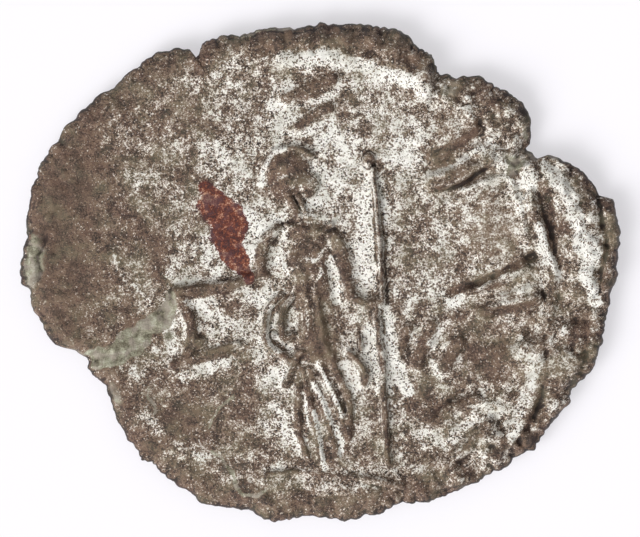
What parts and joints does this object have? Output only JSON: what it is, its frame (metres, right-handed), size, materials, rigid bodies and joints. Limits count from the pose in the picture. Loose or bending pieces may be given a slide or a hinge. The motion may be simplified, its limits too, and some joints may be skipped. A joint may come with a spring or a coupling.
{
  "type": "ancient billon coin",
  "caption": "Worn oval base-silver coin on a ragged, cracked flan: a draped standing figure with a long sceptre on one face, a radiate bust on the other.",
  "frame": {"origin": "under the middle of the flan, on the plane that the coin lies on with its obverse down", "axes": "+X to the right of the upright reverse, along the flan's longer way; +Y to the reverse's top; +Z out of the reverse"},
  "size_m": [0.022, 0.0184, 0.0015],
  "materials": {
    "billon": "worn and corroded base silver: brown patina on the high metal, silvery speckle in the sheltered fields"
  },
  "bodies": {
    "root": {"coin": "billon"}
  },
  "joints": []
}
